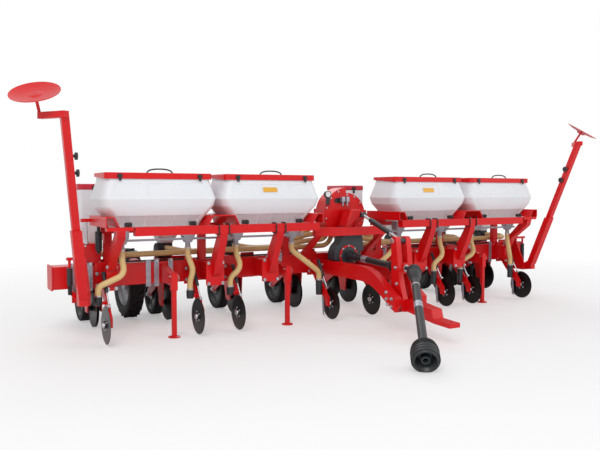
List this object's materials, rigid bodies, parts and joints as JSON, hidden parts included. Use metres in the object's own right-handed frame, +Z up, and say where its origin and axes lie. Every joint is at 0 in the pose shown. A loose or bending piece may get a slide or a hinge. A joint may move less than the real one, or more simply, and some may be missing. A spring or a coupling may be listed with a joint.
{
  "type": "row crop planter",
  "caption": "Mounted-frame row crop planter with fertiliser hoppers on a tool beam, row units behind, folding disc markers, a fan and a hitched drawbar.",
  "frame": {"origin": "on the ground, under the middle of the machine's outline", "axes": "+X along the tool beam to the machine's right side, +Y to the back of the machine, +Z up"},
  "size_m": [6.6704, 3.7306, 2.1739],
  "materials": {
    "red_paint": "gloss enamel, red",
    "galvanised": "bright galvanised steel",
    "dark_steel": "black enamel on steel",
    "disc_steel": "black painted disc blade",
    "white_plastic": "rotationally moulded white polyethylene",
    "grey_plastic": "moulded grey plastic",
    "dark_plastic": "moulded dark grey plastic",
    "black_plastic": "black plastic shaft guard",
    "red_plastic": "moulded red plastic",
    "tan_hose": "tan ribbed suction hose",
    "tyre_rubber": "black tyre rubber"
  },
  "bodies": {
    "root": {"air_hoses": "tan_hose", "beam_plates": "red_paint", "beam_straps": "galvanised", "belt_guard": "dark_plastic", "drawbar": "red_paint", "drive_shafts": "black_plastic", "fan_housing": "red_paint", "fan_tower": "red_paint", "fertiliser_hoppers": "white_plastic", "fertiliser_hoses": "tan_hose", "fertiliser_meters": "grey_plastic", "hopper_stand": "red_paint", "jack_sleeves": "red_paint", "main_beam": "red_paint", "marker_bases": "red_paint", "opener_arms": "red_paint", "seed_discs": "disc_steel", "seed_hoppers": "white_plastic", "seed_lids": "red_plastic", "seed_meters": "dark_plastic", "top_link": "dark_steel", "unit_linkages": "red_paint", "wheel_legs": "red_paint"},
    "hopper_lid_1": {"hopper_lid_1": "red_paint"},
    "hopper_lid_2": {"hopper_lid_2": "red_paint"},
    "hopper_lid_3": {"hopper_lid_3": "red_paint"},
    "hopper_lid_4": {"hopper_lid_4": "red_paint"},
    "jack_leg_1": {"jack_leg_1": "red_paint"},
    "jack_leg_2": {"jack_leg_2": "red_paint"},
    "jack_leg_3": {"jack_leg_3": "red_paint"},
    "jack_leg_4": {"jack_leg_4": "red_paint"},
    "fertiliser_disc_1": {"fertiliser_disc_1": "disc_steel"},
    "fertiliser_disc_2": {"fertiliser_disc_2": "disc_steel"},
    "fertiliser_disc_3": {"fertiliser_disc_3": "disc_steel"},
    "fertiliser_disc_4": {"fertiliser_disc_4": "disc_steel"},
    "fertiliser_disc_5": {"fertiliser_disc_5": "disc_steel"},
    "fertiliser_disc_6": {"fertiliser_disc_6": "disc_steel"},
    "fertiliser_disc_7": {"fertiliser_disc_7": "disc_steel"},
    "fertiliser_disc_8": {"fertiliser_disc_8": "disc_steel"},
    "unit_wheel_1": {"unit_wheel_1": "tyre_rubber"},
    "unit_wheel_2": {"unit_wheel_2": "tyre_rubber"},
    "unit_wheel_3": {"unit_wheel_3": "tyre_rubber"},
    "unit_wheel_4": {"unit_wheel_4": "tyre_rubber"},
    "unit_wheel_5": {"unit_wheel_5": "tyre_rubber"},
    "unit_wheel_6": {"unit_wheel_6": "tyre_rubber"},
    "unit_wheel_7": {"unit_wheel_7": "tyre_rubber"},
    "unit_wheel_8": {"unit_wheel_8": "tyre_rubber"},
    "drive_wheel_left": {"drive_wheel_left": "tyre_rubber"},
    "drive_wheel_right": {"drive_wheel_right": "tyre_rubber"},
    "marker_arm_left": {"marker_arm_left": "red_paint"},
    "marker_disc_left": {"marker_disc_left": "red_paint"},
    "marker_cylinder_left": {"marker_cylinder_left": "dark_steel"},
    "marker_arm_right": {"marker_arm_right": "red_paint"},
    "marker_disc_right": {"marker_disc_right": "red_paint"},
    "marker_cylinder_right": {"marker_cylinder_right": "dark_steel"}
  },
  "joints": [
    {"name": "lid_1_hinge", "type": "hinge", "parent": "root", "child": "hopper_lid_1", "pos_m": [-2.081, 0.597, 1.462], "axis": [-1, 0, 0], "range_deg": [0, 95]},
    {"name": "lid_2_hinge", "type": "hinge", "parent": "root", "child": "hopper_lid_2", "pos_m": [-0.983, 0.597, 1.462], "axis": [-1, 0, 0], "range_deg": [0, 95]},
    {"name": "lid_3_hinge", "type": "hinge", "parent": "root", "child": "hopper_lid_3", "pos_m": [0.983, 0.597, 1.462], "axis": [-1, 0, 0], "range_deg": [0, 95]},
    {"name": "lid_4_hinge", "type": "hinge", "parent": "root", "child": "hopper_lid_4", "pos_m": [2.081, 0.597, 1.462], "axis": [-1, 0, 0], "range_deg": [0, 95]},
    {"name": "jack_1_slide", "type": "slide", "parent": "root", "child": "jack_leg_1", "axis": [0, 0, 1], "range_m": [0, 0.22]},
    {"name": "jack_2_slide", "type": "slide", "parent": "root", "child": "jack_leg_2", "axis": [0, 0, 1], "range_m": [0, 0.22]},
    {"name": "jack_3_slide", "type": "slide", "parent": "root", "child": "jack_leg_3", "axis": [0, 0, 1], "range_m": [0, 0.22]},
    {"name": "jack_4_slide", "type": "slide", "parent": "root", "child": "jack_leg_4", "axis": [0, 0, 1], "range_m": [0, 0.22]},
    {"name": "fertiliser_disc_1_spin", "type": "hinge", "parent": "root", "child": "fertiliser_disc_1", "pos_m": [-2.552, 0.259, 0.179], "axis": [1, 0, 0], "continuous": true},
    {"name": "fertiliser_disc_2_spin", "type": "hinge", "parent": "root", "child": "fertiliser_disc_2", "pos_m": [-1.711, 0.259, 0.179], "axis": [1, 0, 0], "continuous": true},
    {"name": "fertiliser_disc_3_spin", "type": "hinge", "parent": "root", "child": "fertiliser_disc_3", "pos_m": [-1.304, 0.259, 0.179], "axis": [1, 0, 0], "continuous": true},
    {"name": "fertiliser_disc_4_spin", "type": "hinge", "parent": "root", "child": "fertiliser_disc_4", "pos_m": [-0.255, 0.259, 0.179], "axis": [1, 0, 0], "continuous": true},
    {"name": "fertiliser_disc_5_spin", "type": "hinge", "parent": "root", "child": "fertiliser_disc_5", "pos_m": [2.552, 0.259, 0.179], "axis": [1, 0, 0], "continuous": true},
    {"name": "fertiliser_disc_6_spin", "type": "hinge", "parent": "root", "child": "fertiliser_disc_6", "pos_m": [1.711, 0.259, 0.179], "axis": [1, 0, 0], "continuous": true},
    {"name": "fertiliser_disc_7_spin", "type": "hinge", "parent": "root", "child": "fertiliser_disc_7", "pos_m": [1.304, 0.259, 0.179], "axis": [1, 0, 0], "continuous": true},
    {"name": "fertiliser_disc_8_spin", "type": "hinge", "parent": "root", "child": "fertiliser_disc_8", "pos_m": [0.255, 0.259, 0.179], "axis": [1, 0, 0], "continuous": true},
    {"name": "unit_wheel_1_spin", "type": "hinge", "parent": "root", "child": "unit_wheel_1", "pos_m": [-2.455, 1.55, 0.22], "axis": [1, 0, 0], "continuous": true},
    {"name": "unit_wheel_2_spin", "type": "hinge", "parent": "root", "child": "unit_wheel_2", "pos_m": [-1.705, 1.55, 0.22], "axis": [1, 0, 0], "continuous": true},
    {"name": "unit_wheel_3_spin", "type": "hinge", "parent": "root", "child": "unit_wheel_3", "pos_m": [-0.955, 1.55, 0.22], "axis": [1, 0, 0], "continuous": true},
    {"name": "unit_wheel_4_spin", "type": "hinge", "parent": "root", "child": "unit_wheel_4", "pos_m": [-0.205, 1.55, 0.22], "axis": [1, 0, 0], "continuous": true},
    {"name": "unit_wheel_5_spin", "type": "hinge", "parent": "root", "child": "unit_wheel_5", "pos_m": [0.545, 1.55, 0.22], "axis": [1, 0, 0], "continuous": true},
    {"name": "unit_wheel_6_spin", "type": "hinge", "parent": "root", "child": "unit_wheel_6", "pos_m": [1.295, 1.55, 0.22], "axis": [1, 0, 0], "continuous": true},
    {"name": "unit_wheel_7_spin", "type": "hinge", "parent": "root", "child": "unit_wheel_7", "pos_m": [2.045, 1.55, 0.22], "axis": [1, 0, 0], "continuous": true},
    {"name": "unit_wheel_8_spin", "type": "hinge", "parent": "root", "child": "unit_wheel_8", "pos_m": [2.795, 1.55, 0.22], "axis": [1, 0, 0], "continuous": true},
    {"name": "drive_wheel_left_spin", "type": "hinge", "parent": "root", "child": "drive_wheel_left", "pos_m": [-2.003, 1.5, 0.365], "axis": [1, 0, 0], "continuous": true},
    {"name": "drive_wheel_right_spin", "type": "hinge", "parent": "root", "child": "drive_wheel_right", "pos_m": [2.42, 1.5, 0.365], "axis": [1, 0, 0], "continuous": true},
    {"name": "marker_left_fold", "type": "hinge", "parent": "root", "child": "marker_arm_left", "pos_m": [-2.736, 0.279, 0.396], "axis": [0, -1, 0], "range_deg": [0, 82]},
    {"name": "marker_disc_left_spin", "type": "hinge", "parent": "marker_arm_left", "child": "marker_disc_left", "pos_m": [-3.144, -0.11, 2.048], "axis": [-0.2598, -0.4596, 0.8493], "continuous": true},
    {"name": "marker_left_cylinder", "type": "slide", "parent": "root", "child": "marker_cylinder_left", "axis": [0, 0, -1], "range_m": [0, 0.106]},
    {"name": "marker_right_fold", "type": "hinge", "parent": "root", "child": "marker_arm_right", "pos_m": [2.736, 0.279, 0.396], "axis": [0, 1, 0], "range_deg": [0, 82]},
    {"name": "marker_disc_right_spin", "type": "hinge", "parent": "marker_arm_right", "child": "marker_disc_right", "pos_m": [3.144, -0.11, 2.048], "axis": [0.2598, -0.4596, 0.8493], "continuous": true},
    {"name": "marker_right_cylinder", "type": "slide", "parent": "root", "child": "marker_cylinder_right", "axis": [0, 0, -1], "range_m": [0, 0.106]}
  ],
  "couplings": [
    {"joint": "marker_left_cylinder", "follows": "marker_left_fold", "m_per_rad": 0.0734},
    {"joint": "marker_right_cylinder", "follows": "marker_right_fold", "m_per_rad": 0.0734}
  ]
}
